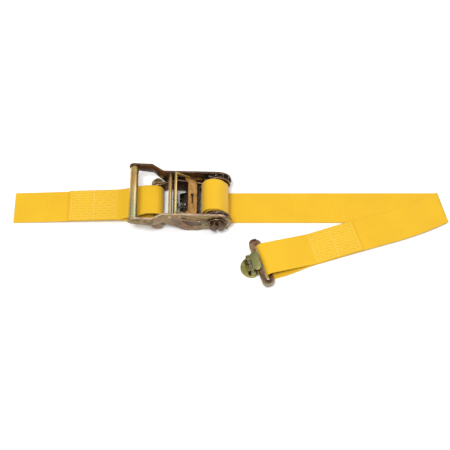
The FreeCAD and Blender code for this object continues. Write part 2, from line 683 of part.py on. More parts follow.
def build():
    """Every node by name, in the design frame."""
    far = {
        "frame_plate": frame_plate(),
        "ratchet_gear": ratchet_gear(),
        "spindle_washer": spindle_washer(),
        "handle_plate": handle_plate(),
    }
    nodes = {}
    for name, shape in far.items():
        nodes[name + "_far"] = shape
        nodes[name + "_near"] = mirrored(shape)
    nodes.update({
        "frame_cross_plate": frame_cross_plate(),
        "anchor_bolt": anchor_bolt(),
        "anchor_nut": anchor_nut(),
        "anchor_sleeve": anchor_sleeve(),
        "spindle_half_right": spindle_half(1),
        "spindle_half_left": spindle_half(-1),
        "split_pin": split_pin(),
        "retaining_ring": retaining_ring(),
        "webbing_roll": webbing_roll(),
        "grip_tube": grip_tube(),
        "grip_rod": grip_rod(),
        "handle_spacer_rod": handle_spacer_rod(),
        "drive_pawl": drive_pawl(),
        "pawl_pull_bar": pawl_pull_bar(),
        "drive_pawl_springs": drive_pawl_springs(),
        "lock_pawl": lock_pawl(),
        "lock_pawl_spring": lock_pawl_spring(),
        "short_strap": short_strap(),
        "main_strap": main_strap(),
        "fitting_body": placed(fitting_body()),
        "fitting_pin": placed(fitting_pin()),
        "fitting_latch": placed(fitting_latch()),
        "fitting_spring": placed(fitting_spring()),
    })
    return nodes


def base_centre(nodes):
    """The middle of the underside of the box round all the pieces."""
    box = Part.makeCompound(list(nodes.values())).optimalBoundingBox(True, False)
    return Vector(box.Center.x, box.Center.y, box.ZMin)


NODES = build()
ORIGIN = base_centre(NODES)
os.makedirs("parts", exist_ok=True)
for node_name, node_shape in NODES.items():
    node_shape.translate(ORIGIN.negative())
    node_shape.exportStep("parts/" + node_name + ".step")
    print(node_name, node_shape.isValid(), len(node_shape.Solids), round(node_shape.Volume, 1))
print("origin", ORIGIN)
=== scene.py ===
import json
import math

import bmesh
import bpy
import numpy as np
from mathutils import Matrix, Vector


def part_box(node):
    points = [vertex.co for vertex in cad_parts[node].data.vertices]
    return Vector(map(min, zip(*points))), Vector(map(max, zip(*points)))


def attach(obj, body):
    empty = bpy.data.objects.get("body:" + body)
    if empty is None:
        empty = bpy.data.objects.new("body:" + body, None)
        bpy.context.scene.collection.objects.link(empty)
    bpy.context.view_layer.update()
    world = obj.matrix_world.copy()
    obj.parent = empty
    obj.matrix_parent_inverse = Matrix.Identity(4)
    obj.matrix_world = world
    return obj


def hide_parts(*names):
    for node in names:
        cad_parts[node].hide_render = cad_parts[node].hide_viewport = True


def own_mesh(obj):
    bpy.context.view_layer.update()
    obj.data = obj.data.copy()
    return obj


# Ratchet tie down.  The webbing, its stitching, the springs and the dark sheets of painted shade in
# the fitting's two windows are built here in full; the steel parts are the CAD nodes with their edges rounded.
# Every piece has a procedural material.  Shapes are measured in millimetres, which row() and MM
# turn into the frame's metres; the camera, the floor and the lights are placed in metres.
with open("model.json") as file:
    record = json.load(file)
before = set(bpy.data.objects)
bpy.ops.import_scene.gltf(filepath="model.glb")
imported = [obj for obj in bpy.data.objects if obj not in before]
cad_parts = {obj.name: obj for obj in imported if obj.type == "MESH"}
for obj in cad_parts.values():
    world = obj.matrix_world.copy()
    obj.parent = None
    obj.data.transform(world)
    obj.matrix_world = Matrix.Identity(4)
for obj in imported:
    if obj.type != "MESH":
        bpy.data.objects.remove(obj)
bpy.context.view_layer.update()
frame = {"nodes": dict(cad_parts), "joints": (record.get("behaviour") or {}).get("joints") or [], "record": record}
NODES = frame["nodes"]
MM = 0.001

# ---- the spindle's axis, from which lengths in millimetres are measured ----
# from the middle of the ratchet to the spindle's near end
NEAR_END = 45.5
left_low, left_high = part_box("spindle_half_left")
right_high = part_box("spindle_half_right")[1]
ORIGIN = np.array([(left_low.x + right_high.x) / 2, left_low.y + NEAR_END * MM, 0.0])
SPINDLE_Z = (left_low.z + left_high.z) / 2 / MM
LATCH_JOINT = next(j for j in frame["joints"] if j["name"] == "track_latch_press")


def row(points):
    """Points in millimetres from below the spindle's middle, as row-frame metres."""
    return np.asarray(points, float) * MM + ORIGIN


# ---------------------------------------------------------------- materials
WHITE = (1.0, 1.0, 1.0)
SPECK_SCALE = 420.0
WEAR_SCALE = 90.0


class Nodes:
    """A material and short ways to add to its node tree."""

    def __init__(self, name):
        self.material = bpy.data.materials.new(name)
        self.material.use_nodes = True
        self.tree = self.material.node_tree
        self.shader = self.tree.nodes["Principled BSDF"]

    def add(self, kind, **settings):
        node = self.tree.nodes.new(kind)
        for key, value in settings.items():
            if key in node.inputs:
                node.inputs[key].default_value = value
            else:
                setattr(node, key, value)
        return node

    def link(self, output, target):
        self.tree.links.new(output, target)

    def place(self, scale=(1, 1, 1)):
        """The piece's own coordinates, stretched."""
        where = self.add("ShaderNodeTexCoord")
        stretch = self.add("ShaderNodeMapping", Scale=scale)
        self.link(where.outputs["Object"], stretch.inputs["Vector"])
        return stretch.outputs["Vector"]

    def noise(self, vector, scale, detail=3.0, roughness=0.55):
        node = self.add("ShaderNodeTexNoise", Scale=scale, Detail=detail, Roughness=roughness)
        self.link(vector, node.inputs["Vector"])
        return node.outputs["Fac"]

    def ramp(self, factor, stops):
        node = self.add("ShaderNodeValToRGB")
        elements = node.color_ramp.elements
        while len(elements) < len(stops):
            elements.new(0.5)
        for element, (position, colour) in zip(elements, stops):
            element.position = position
            element.color = (*colour, 1.0)
        self.link(factor, node.inputs["Fac"])
        return node.outputs["Color"]

    def span(self, value, from_low, from_high, to_low, to_high):
        node = self.add("ShaderNodeMapRange")
        for name, number in (("From Min", from_low), ("From Max", from_high),
                             ("To Min", to_low), ("To Max", to_high)):
            node.inputs[name].default_value = number
        self.link(value, node.inputs["Value"])
        return node.outputs["Result"]

    def mix(self, factor, a, b, mode="MIX"):
        node = self.add("ShaderNodeMix", data_type="RGBA", blend_type=mode)
        if isinstance(factor, float):
            node.inputs[0].default_value = factor
        else:
            self.link(factor, node.inputs[0])
        for socket, value in ((node.inputs[6], a), (node.inputs[7], b)):
            if isinstance(value, tuple):
                socket.default_value = (*value, 1.0)
            else:
                self.link(value, socket)
        return node.outputs[2]

    def maths(self, operation, a, b=0.0):
        node = self.add("ShaderNodeMath", operation=operation)
        for socket, value in zip(node.inputs, (a, b)):
            if isinstance(value, (int, float)):
                socket.default_value = value
            else:
                self.link(value, socket)
        return node.outputs[0]

    def wander(self, noise, amount):
        """Noise turned into a drift either way of nought."""
        return self.maths("MULTIPLY", self.maths("SUBTRACT", noise, 0.5), amount)

    def speckle(self, where, colour, scale, dark, share=0.75, low=0.32, high=0.62):
        """Set the base colour, darkened by fine specks, and return the specks."""
        specks = self.noise(where, scale, 2.0, 0.7)
        shade = self.ramp(specks, [(low, dark), (high, WHITE)])
        self.link(self.mix(share, colour, shade, "MULTIPLY"), self.shader.inputs["Base Color"])
        return specks

    def dull(self, noise, smooth, rough):
        """Set the roughness between two values by a noise."""
        self.link(self.span(noise, 0.3, 0.7, smooth, rough), self.shader.inputs["Roughness"])

    def bump(self, height, strength, distance):
        node = self.add("ShaderNodeBump", Strength=strength, Distance=distance)
        self.link(height, node.inputs["Height"])
        self.link(node.outputs["Normal"], self.shader.inputs["Normal"])


def plated_steel(name, colours, roughness=(0.24, 0.46), patch=34.0):
    """Passivated plate: blotches of colour, a fine grain, and dull and bright patches."""
    made = Nodes(name)
    where = made.place()
    spread = made.span(made.noise(where, patch, 4.0, 0.6), 0.34, 0.66, 0.0, 1.0)
    colour = made.ramp(spread, [(i / (len(colours) - 1), shade) for i, shade in enumerate(colours)])
    specks = made.speckle(where, colour, SPECK_SCALE, (0.62, 0.58, 0.56))
    made.dull(made.noise(where, WEAR_SCALE, 3.0, 0.65), *roughness)
    drawn = made.noise(made.place((180, 180, 2200)), 1.0, 3.0, 0.6)
    made.bump(made.maths("ADD", drawn, made.maths("MULTIPLY", specks, 0.6)), 0.22, 0.00012)
    made.shader.inputs["Metallic"].default_value = 0.92
    return made.material


zinc = plated_steel("zinc_plate", [(0.085, 0.055, 0.03), (0.20, 0.14, 0.06), (0.30, 0.22, 0.10),
                                   (0.27, 0.145, 0.085), (0.16, 0.11, 0.06)])
zinc_dark = plated_steel("zinc_plate_shaded", [(0.045, 0.030, 0.022), (0.10, 0.058, 0.036),
                                               (0.14, 0.085, 0.05), (0.085, 0.05, 0.032)])
# pale pinkish plate for rounded edges and the near handle plate's upward faces: a painted highlight where light
# catches them
zinc_edge_highlight = plated_steel("zinc_edge_highlight", [(0.34, 0.19, 0.115), (0.52, 0.36, 0.25), (0.66, 0.52, 0.36)],
                         (0.26, 0.42), 60.0)
zinc_green = plated_steel("zinc_green", [(0.235, 0.165, 0.072), (0.27, 0.24, 0.085), (0.32, 0.29, 0.115),
                                         (0.25, 0.27, 0.105), (0.30, 0.235, 0.105)], (0.24, 0.42))
# rose-brown plate for the far handle plate, darkened as painted shade on its shadowed inner face
zinc_rose_shaded = plated_steel("zinc_rose_shaded", [(0.05, 0.032, 0.022), (0.11, 0.065, 0.038), (0.16, 0.09, 0.055),
                                       (0.10, 0.07, 0.038)])
copper = plated_steel("copper_plate", [(0.24, 0.115, 0.036), (0.34, 0.18, 0.055), (0.29, 0.15, 0.05)])
gear_steel = plated_steel("gear_steel", [(0.035, 0.028, 0.022), (0.09, 0.065, 0.045), (0.16, 0.12, 0.09)],
                          (0.18, 0.5), 110.0)
# pale steel on the rounded edges of the gears, the lock pawl and the ring: painted glints
gear_edge_glint = plated_steel("gear_edge_glint", [(0.12, 0.09, 0.07), (0.5, 0.44, 0.36)], (0.15, 0.35), 160.0)
spring_steel = plated_steel("spring_steel", [(0.30, 0.27, 0.21), (0.55, 0.52, 0.44)], (0.18, 0.34), 120.0)


# metres ahead of the latch's pin, where the brown plate turns yellow-green, and metres aside from
# it towards the near side, where the wing's end is lightened with painted light
NECK = (-0.012, -0.003)
LIT_WING_END = (0.032, 0.0365)


def fitting_plate():
    """The fitting's plate: brown wings, the near one lightened at its end with painted light, and a green-gold
    nose.
    """
    made = Nodes("fitting_plate")
    where = made.place()
    axis = Vector(LATCH_JOINT["axis"])
    from_pin = made.add("ShaderNodeVectorMath", operation="SUBTRACT")
    made.link(where, from_pin.inputs[0])
    from_pin.inputs[1].default_value = Vector(LATCH_JOINT["pos_m"])
    measured = []
    for direction in (axis.cross(Vector((0, 0, -1))).normalized(), -axis):
        reach = made.add("ShaderNodeVectorMath", operation="DOT_PRODUCT")
        made.link(from_pin.outputs["Vector"], reach.inputs[0])
        reach.inputs[1].default_value = direction
        measured.append(reach.outputs["Value"])
    ahead_of_pin, aside_of_pin = measured
    blotches = made.noise(where, 60.0, 4.0, 0.6)
    in_front = made.span(made.maths("ADD", ahead_of_pin, made.wander(blotches, 0.008)), *NECK, 0.0, 1.0)
    lit_wing_end = made.span(made.maths("ADD", aside_of_pin, made.wander(blotches, 0.006)), *LIT_WING_END, 0.0, 1.0)
    spread = made.span(blotches, 0.34, 0.66, 0.0, 1.0)
    wings = made.ramp(spread, [(0.0, (0.07, 0.035, 0.022)), (0.45, (0.13, 0.07, 0.04)),
                               (0.75, (0.21, 0.115, 0.07)), (1.0, (0.12, 0.065, 0.04))])
    nose = made.ramp(spread, [(0.0, (0.24, 0.20, 0.06)), (0.4, (0.30, 0.28, 0.08)),
                              (0.7, (0.36, 0.31, 0.10)), (1.0, (0.26, 0.27, 0.10))])
    # the pale khaki mixed in at the near wing's end is painted light
    colour = made.mix(lit_wing_end, made.mix(in_front, wings, nose), (0.27, 0.215, 0.13))
    specks = made.speckle(where, colour, SPECK_SCALE, (0.66, 0.62, 0.60))
    made.dull(made.noise(where, WEAR_SCALE), 0.24, 0.42)
    made.bump(specks, 0.15, 0.0001)
    made.shader.inputs["Metallic"].default_value = 0.9
    return made.material


def gold_bar():
    """Yellow passivate on the tube and bars: gold at the far end, paler and greener at the near."""
    made = Nodes("gold_bar")
    where = made.place()
    axes = made.add("ShaderNodeSeparateXYZ")
    made.link(where, axes.inputs[0])
    reach = 45.0 * MM
    along = made.span(axes.outputs["Y"], ORIGIN[1] - reach, ORIGIN[1] + reach, 0.0, 1.0)
    streak = made.noise(made.place((30, 60, 30)), 1.0, 4.0, 0.65)
    colour = made.ramp(made.maths("ADD", along, made.wander(streak, 0.9)), [
        (0.0, (0.40, 0.38, 0.22)), (0.25, (0.46, 0.40, 0.20)), (0.5, (0.62, 0.44, 0.19)),
        (0.75, (0.58, 0.38, 0.13)), (1.0, (0.66, 0.48, 0.17))])
    made.speckle(where, colour, 500.0, (0.74, 0.70, 0.66), 0.7, 0.3, 0.6)
    made.dull(streak, 0.22, 0.4)
    made.bump(made.noise(made.place((900, 40, 900)), 1.0, 3.0, 0.6), 0.15, 0.0001)
    made.shader.inputs["Metallic"].default_value = 0.9
    return made.material


bars = gold_bar()
fitting_steel = fitting_plate()


def webbing_material(name, groove_shade, pale):
    """Woven polyester: yarns that cross each rib, with painted shade darkening the grooves between ribs."""
    made = Nodes(name)
    web = made.add("ShaderNodeUVMap", uv_map="web")
    axes = made.add("ShaderNodeSeparateXYZ")
    made.link(web.outputs["UV"], axes.inputs[0])
    along, across = axes.outputs["X"], axes.outputs["Y"]
    rib = made.maths("ABSOLUTE", made.maths("SINE", made.maths("MULTIPLY", along, math.pi)))
    yarn = made.maths("SINE", made.maths("MULTIPLY", across, 2 * math.pi))
    twill = made.maths("ADD", along, made.maths("MULTIPLY", across, 0.5))
    twist = made.maths("SINE", made.maths("MULTIPLY", twill, 2 * math.pi))
    woven = made.maths("MULTIPLY", made.maths("ADD", yarn, twist), 0.16)
    raised = made.maths("ADD", made.maths("MULTIPLY", rib, 0.8), made.maths("MULTIPLY", woven, 0.4))
    middle = tuple((a + b) / 2 for a, b in zip(groove_shade, pale))
    # the colour runs from the painted shade of the grooves up to the ribs' crests
    colour = made.ramp(raised, [(0.0, groove_shade), (0.5, middle), (0.9, pale)])
    where = made.place()
    tint = made.ramp(made.noise(where, 22.0, 3.0, 0.5), [(0.3, (0.93, 0.90, 0.82)), (0.7, WHITE)])
    fibres = made.noise(where, 1800.0, 2.0, 0.6)
    fuzz = made.ramp(fibres, [(0.3, (0.88, 0.86, 0.80)), (0.6, WHITE)])
    tinted = made.mix(0.8, colour, tint, "MULTIPLY")
    made.link(made.mix(0.7, tinted, fuzz, "MULTIPLY"), made.shader.inputs["Base Color"])
    made.dull(fibres, 0.55, 0.8)
    made.bump(made.maths("ADD", woven, made.maths("MULTIPLY", fibres, 0.3)), 0.35, 0.00025)
    made.shader.inputs["Sheen Weight"].default_value = 0.15
    made.shader.inputs["Specular IOR Level"].default_value = 0.3
    return made.material


# the first colour is the yellow darkened as painted shade in the grooves
yellow = webbing_material("yellow_webbing", (0.64, 0.345, 0.0045), (0.72, 0.452, 0.0095))


def thread_material():
    """Thread a little paler than the webbing."""
    made = Nodes("pale_thread")
    strands = made.noise(made.place(), 1500.0, 2.0, 0.6)
    made.link(made.ramp(strands, [(0.3, (0.67, 0.46, 0.05)), (0.7, (0.75, 0.57, 0.14))]),
              made.shader.inputs["Base Color"])
    made.dull(strands, 0.4, 0.6)
    made.bump(strands, 0.4, 0.0001)
    return made.material


thread = thread_material()


# ---------------------------------------------------------------- building
SHARP = math.radians(35.0)


def rod_faces(first, rings, sides):
    """Faces of a closed rod whose rings of vertices follow each other from the first."""
    faces = []
    for k in range(rings - 1):
        for j in range(sides):
            a = first + k * sides + j
            b = first + k * sides + (j + 1) % sides
            faces.append((a, b, b + sides, a + sides))
    last = first + (rings - 1) * sides
    faces.append(tuple(first + j for j in reversed(range(sides))))
    faces.append(tuple(last + j for j in range(sides)))
    return faces


def new_piece(name, vertices, faces, material, body):
    """A smooth-shaded piece of row-frame points that rides on a body."""
    mesh = bpy.data.meshes.new(name)
    mesh.from_pydata([tuple(v) for v in vertices], [], faces)
    mesh.materials.append(material)
    mesh.polygons.foreach_set("use_smooth", [True] * len(mesh.polygons))
    mesh.update()
    piece = bpy.data.objects.new(name, mesh)
    bpy.context.scene.collection.objects.link(piece)
    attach(piece, body)
    return piece


# ---- webbing ----
HALF_WEB = 25.0
RIB_PITCH = 2.2
RIB_DEPTH = 0.13
RIB_FULLNESS = 0.7
YARN_PITCH = 1.6
HALF_THICK = 1.14
PER_RIB = 4
# places across the strap from its middle line, with the share of the full thickness there
HALF_PROFILE = [(25.0, 0.42), (24.8, 0.74), (24.3, 0.94), (23.2, 1.0), (19.0, 1.0), (12.5, 1.0), (6.0, 1.0)]
PROFILE = [(-t, share) for t, share in HALF_PROFILE] + [(0.0, 1.0)] + HALF_PROFILE[::-1]
NORMAL_STEP = 0.05


def normals(place, s, t):
    """Unit normals of a surface given by place(along, across), by small differences."""
    along = place(s + NORMAL_STEP, t) - place(s - NORMAL_STEP, t)
    across = place(s, t + NORMAL_STEP) - place(s, t - NORMAL_STEP)
    n = np.cross(along, across)
    return n / np.linalg.norm(n, axis=-1, keepdims=True)


def webbing(name, place, length, body):
    """A ribbed strip whose middle surface is place(along, across), in millimetres."""
    count = int(round(length / RIB_PITCH * PER_RIB))
    s = np.linspace(0.0, length, count + 1)[:, None] + np.zeros(len(PROFILE))
    t = np.array([p[0] for p in PROFILE])[None, :] + np.zeros_like(s)
    share = np.array([p[1] for p in PROFILE])[None, :]
    middle = place(s, t)
    n = normals(place, s, t)
    rib = np.abs(np.sin(math.pi * s / RIB_PITCH)) ** RIB_FULLNESS
    lift = (share * (HALF_THICK - RIB_DEPTH * (1.0 - rib)))[..., None]
    top = (middle + n * lift).reshape(-1, 3)
    bottom = (middle - n * lift).reshape(-1, 3)
    rows, columns = s.shape
    half = rows * columns
    faces = []
    for i in range(rows - 1):
        for j in range(columns - 1):
            a = i * columns + j
            b = a + columns
            faces.append((a, b, b + 1, a + 1))
            faces.append((half + a, half + a + 1, half + b + 1, half + b))
        first = i * columns
        last = first + columns - 1
        faces.append((first, half + first, half + first + columns, first + columns))
        faces.append((last, last + columns, half + last + columns, half + last))
    end = (rows - 1) * columns
    for j in range(columns - 1):
        faces.append((j, j + 1, half + j + 1, half + j))
        faces.append((end + j, half + end + j, half + end + j + 1, end + j + 1))
    piece = new_piece(name, row(np.vstack([top, bottom])), faces, yellow, body)
    uv = piece.data.uv_layers.new(name="web")
    flat = np.stack([s / RIB_PITCH, t / YARN_PITCH], axis=-1).reshape(-1, 2)
    flat = np.vstack([flat, flat])
    corner = np.zeros(len(piece.data.loops), int)
    piece.data.loops.foreach_get("vertex_index", corner)
    uv.data.foreach_set("uv", flat[corner].ravel().astype(np.float32))
    return piece


ROUTE_STEP = 0.25


def route(points, smoothing):
    """The length of a path rounded at its corners, and a function that finds places along it."""
    points = np.asarray(points, float)
    steps = np.linalg.norm(np.diff(points, axis=0), axis=1)
    reach = np.concatenate([[0.0], np.cumsum(steps)])
    at = np.arange(0.0, reach[-1] + ROUTE_STEP / 2, ROUTE_STEP)
    line = np.stack([np.interp(at, reach, points[:, k]) for k in range(points.shape[1])], axis=1)
    width = max(1, int(smoothing / ROUTE_STEP))
    window = np.hanning(2 * width + 3)[1:-1]
    window /= window.sum()
    before = 2 * line[0] - line[width:0:-1]
    after = 2 * line[-1] - line[-2:-width - 2:-1]
    padded = np.vstack([before, line, after])
    smooth = np.stack([np.convolve(column, window, "valid") for column in padded.T], axis=1)
    steps = np.linalg.norm(np.diff(smooth, axis=0), axis=1)
    reach = np.concatenate([[0.0], np.cumsum(steps)])

    def locate(s):
        found = [np.interp(s, reach, smooth[:, k]) for k in range(smooth.shape[1])]
        below, above = np.minimum(s, 0.0), np.maximum(s - reach[-1], 0.0)
        first = (smooth[1] - smooth[0]) / steps[0]
        last = (smooth[-1] - smooth[-2]) / steps[-1]
        return [f + below * first[k] + above * last[k] for k, f in enumerate(found)]

    return reach[-1], locate


ARC_POINTS = 40


def touch_angle(centre, radius, point, upper):
    """The angle, from 0 to 2 pi, at which a line from a point touches a circle."""
    dx, dz = point[0] - centre[0], point[1] - centre[1]
    spread = math.acos(radius / math.hypot(dx, dz))
    return (math.atan2(dz, dx) + (-spread if upper else spread)) % (2 * math.pi)


def arc(centre, radius, start, stop):
    """Points on a circle from one angle to another."""
    return [(centre[0] + radius * math.cos(a), centre[1] + radius * math.sin(a))
            for a in np.linspace(start, stop, ARC_POINTS)]


# ---- the short strap: cut end, single stretch, loop round the anchor, sewn-down tail ----
SHORT_END = (-297.0, 1.15)
SHORT_JOIN = ((-142.0, 9.85), (-142.0, 12.15))
SHORT_TAIL = (-217.0, 7.94)
ANCHOR_BENDS = ((-90.6, 12.6), (-102.0, 12.8))
ANCHOR_LOOP_RADIUS = 11.25
SHORT_SMOOTHING = 5.0
LOOP_NARROWING = 2.8
NARROWING_LENGTH = 40.0

front, back = ANCHOR_BENDS
square = math.atan2(front[1] - back[1], front[0] - back[0]) + math.pi / 2
low_touch = touch_angle(back, ANCHOR_LOOP_RADIUS, SHORT_JOIN[0], False)
high_touch = touch_angle(back, ANCHOR_LOOP_RADIUS, SHORT_JOIN[1], True)
short_path = [SHORT_END, SHORT_JOIN[0]]
short_path += arc(back, ANCHOR_LOOP_RADIUS, low_touch, square + math.pi)
short_path += arc(front, ANCHOR_LOOP_RADIUS, square - math.pi, square)
short_path += arc(back, ANCHOR_LOOP_RADIUS, square, high_touch)
short_path += [SHORT_JOIN[1], SHORT_TAIL]
short_length, short_at = route(short_path, SHORT_SMOOTHING)


def short_place(s, t):
    """The short strap's middle surface."""
    x, z = short_at(s)
    # the near edge is drawn in where the webbing bends round the anchor
    drawn_in = np.clip((x - SHORT_JOIN[0][0]) / NARROWING_LENGTH, 0.0, 1.0) ** 2
    return np.stack([x, t + LOOP_NARROWING * drawn_in * (HALF_WEB - t) / (2 * HALF_WEB), z], axis=-1)


short_strap = webbing("short_strap_webbing", short_place, short_length, "anchor_strap")
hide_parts("short_strap")

# ---- the load strap: run, leaning fold, shallow curve back, end loop and sewn-down tail ----
RUN_START_X = 14.8
FOLD_X = 328.0
FOLD_RADIUS = 1.62
FOLD_YAW = math.radians(28.0)
END_YAW = math.radians(17.4)
CURVE_LENGTH = 83.0
LEAN = FOLD_YAW / 2
RUN_MIDDLE_Z = 1.15
TOP_Z = RUN_MIDDLE_Z + 2 * FOLD_RADIUS
# along the returning run from the fold: its path starts a lead before the fold, sinks onto the run,
# steps off it and reaches the loop
LEAD = 10.0
SINK_START, SINK_END = 6.5, 24.0
TAIL_START = 134.0
STEP_START, STEP_END = 150.0, 196.0
LOOP_START = 205.5
LOOP_MIDDLE = 273.5
# heights of the layers' middles: over the run, the tail over that, and the tail over the floor
OVER_RUN_Z = 3.6
TAIL_OVER_RUN_Z = 5.95
TAIL_Z = 3.5
LOOP_TOP_Z = 3.45
END_LOOP_RADIUS = 6.55
END_LOOP_Z = 7.7
LOAD_SMOOTHING = 4.0
# the end loop's lower layer lies a little askew of its upper one, over these lengths
SPLAY = 4.0
SPLAY_RISE = 50.0
SPLAY_FALL = 20.0
SPLAY_PAST_LOOP = 14.0

loop_middle = (LOOP_MIDDLE, END_LOOP_Z)
loop_low, loop_high = (LOOP_START, RUN_MIDDLE_Z), (LOOP_START, LOOP_TOP_Z)
back_path = [(-LEAD, TOP_Z), (SINK_START, TOP_Z), (SINK_END, OVER_RUN_Z), (STEP_START, OVER_RUN_Z)]
back_path += [(STEP_END, RUN_MIDDLE_Z), loop_low]
back_path += arc(loop_middle, END_LOOP_RADIUS,
                 touch_angle(loop_middle, END_LOOP_RADIUS, loop_low, False) - 2 * math.pi,
                 touch_angle(loop_middle, END_LOOP_RADIUS, loop_high, True))
back_path += [loop_high, (STEP_END, TAIL_Z), (STEP_START, TAIL_OVER_RUN_Z), (TAIL_START, TAIL_OVER_RUN_Z)]
back_length, back_at = route(back_path, LOAD_SMOOTHING)
back_length -= LEAD


def return_line(along):
    """The place and the yaw of the returning run's middle line, at a distance from the fold."""
    bend = (FOLD_YAW - END_YAW) / CURVE_LENGTH
    curved = np.minimum(along, CURVE_LENGTH)
    straight = along - curved
    yaw = FOLD_YAW - bend * curved
    x = FOLD_X - (math.sin(FOLD_YAW) - np.sin(yaw)) / bend - straight * np.cos(yaw)
    y = -(np.cos(yaw) - math.cos(FOLD_YAW)) / bend - straight * np.sin(yaw)
    return x, y, yaw


def load_place(s, t):
    """The load strap's middle surface: flat run, fold along a leaning line, and returning run."""
    run_length = FOLD_X - RUN_START_X
    past = s - run_length
    d = past * math.cos(LEAN) + t * math.sin(LEAN)
    e = -past * math.sin(LEAN) + t * math.cos(LEAN)
    turn = np.clip(d / FOLD_RADIUS, 0.0, math.pi)
    out = np.where(d < 0, d, FOLD_RADIUS * np.sin(turn))
    x = FOLD_X + out * math.cos(LEAN) - e * math.sin(LEAN)
    y = out * math.sin(LEAN) + e * math.cos(LEAN)
    z = RUN_MIDDLE_Z + FOLD_RADIUS * (1.0 - np.cos(turn))
    along = past - math.pi * FOLD_RADIUS * math.cos(LEAN)
    across = -t + math.pi * FOLD_RADIUS * math.sin(LEAN)
    a, back_z = back_at(along + LEAD)
    splay = np.clip((along - LOOP_START) / SPLAY_RISE, 0.0, 1.0)
    splay *= np.clip((LOOP_MIDDLE + SPLAY_PAST_LOOP - along) / SPLAY_FALL, 0.0, 1.0)
    across = across + SPLAY * splay * splay * (3.0 - 2.0 * splay)
    line_x, line_y, yaw = return_line(a)
    folded = d >= math.pi * FOLD_RADIUS
    x = np.where(folded, line_x + across * np.sin(yaw), x)
    y = np.where(folded, line_y - across * np.cos(yaw), y)
    z = np.where(folded, back_z, z)
    return np.stack([x, y, z], axis=-1)


load_length = FOLD_X - RUN_START_X + math.pi * FOLD_RADIUS * math.cos(LEAN) + back_length
load_strap = webbing("load_strap_webbing", load_place, load_length, "load_strap")
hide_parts("main_strap")

# ---- the roll on the spindle: two strands wound together, in an oval ----
# the outline's radii at equal steps of angle, from the bottom once round to the next turn in
ROLL_RADII = (21.9, 22.5, 22.9, 24.2, 20.4, 15.9, 16.9, 18.2, 17.3)
ROLL_FLAP = 9.5
ROLL_PITCH = 4.6
ROLL_STEP = 6.0
ROLL_SMOOTHING = 5.0
SPINDLE_CLEAR = 11.9
# each strand's middle below the outline, and the winding angles at which it starts and stops
LOAD_INSET, LOAD_START, LOAD_STOP = 1.25, 0.0, 600.0
TAIL_INSET, TAIL_FROM, TAIL_TO = 3.55, 150.0, 330.0
SLOT_REACH = 10.2


def roll_points(start, stop, inset):
    """A strand's middle, from one winding angle to another, both in degrees from the bottom."""
    angles = np.arange(start, stop + 0.1, ROLL_STEP)
    knots = np.linspace(0.0, 360.0, len(ROLL_RADII))
    radius = np.interp(angles % 360.0, knots, ROLL_RADII) - ROLL_PITCH * (angles // 360.0) - inset
    radius = np.maximum(radius, SPINDLE_CLEAR)
    where = np.radians(270.0 - angles)
    return list(zip(radius * np.cos(where), SPINDLE_Z + radius * np.sin(where)))


def straight_in_y(locate):
    """The surface that a path in x and z sweeps along y."""
    def place(s, t):
        x, z = locate(s)
        return np.stack([x, t, z], axis=-1)
    return place


def wound(name, points):
    """A strand of the roll, riding on the spindle."""
    length, locate = route(points, ROLL_SMOOTHING)
    piece = webbing(name, straight_in_y(locate), length, "spindle")
    return piece


load_turns = roll_points(LOAD_START, LOAD_STOP, LOAD_INSET)
load_roll = wound("load_roll_webbing", [(ROLL_FLAP, load_turns[0][1])] + load_turns)
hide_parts("webbing_roll")
wound("tail_roll_webbing", roll_points(TAIL_FROM, TAIL_TO, TAIL_INSET))
wound("slot_webbing", [(0.0, SPINDLE_Z - SLOT_REACH), (0.0, SPINDLE_Z + SLOT_REACH)])

# ---- stitching ----
STITCH = 2.7
STITCH_GAP = 0.3
THREAD_RADIUS = 0.48
THREAD_SPREAD = 1.15
THREAD_SIDES = 6
THREAD_SMOOTHING = 0.8
# places along a stitch, with its swell there and how far it is sunk in the webbing
STITCH_SHARES = np.array([0.0, 0.16, 0.5, 0.84, 1.0])
STITCH_SWELL = np.array([0.45, 0.9, 1.0, 0.9, 0.45])
STITCH_SUNK = np.array([0.32, 0.1, 0.1, 0.1, 0.32])
# the sewn zones: rows that weave along the strap, and a bar across each end and the middle
SEWN_ROWS = 11
SEWN_HALF_WIDTH = 22.0
WEAVE_SWING, WEAVE_PERIOD = 0.9, 13.0
BAR_OVERHANG = 1.5
BAR_OUTSIDE = 1.0
BAR_SWING, BAR_PERIOD = 0.8, 7.0
ROW_POINTS, BAR_POINTS = 60, 40


def stitches(name, place, lines, side, body):
    """Raised stitches along lines of (along, across) points, on one face of a strap."""
    vertices, faces = [], []
    for line in lines:
        length, locate = route(line, THREAD_SMOOTHING)
        for i in range(int(length // (STITCH + STITCH_GAP))):
            start = i * (STITCH + STITCH_GAP) + STITCH_GAP / 2
            s, t = locate(start + STITCH_SHARES * STITCH)
            centre = place(s, t)
            n = side * normals(place, s, t)
            forward = np.gradient(centre, axis=0)
            forward /= np.linalg.norm(forward, axis=1, keepdims=True)
            beside = np.cross(forward, n)
            first = len(vertices)
            for k, (swell, sunk) in enumerate(zip(STITCH_SWELL, STITCH_SUNK)):
                for j in range(THREAD_SIDES):
                    turn = 2 * math.pi * j / THREAD_SIDES
                    wide = beside[k] * math.cos(turn) * THREAD_RADIUS * THREAD_SPREAD * swell
                    tall = n[k] * math.sin(turn) * THREAD_RADIUS * swell
                    vertices.append(centre[k] + n[k] * (HALF_THICK - sunk) + wide + tall)
            faces += rod_faces(first, len(STITCH_SHARES), THREAD_SIDES)
    return new_piece(name, row(vertices), faces, thread, body)


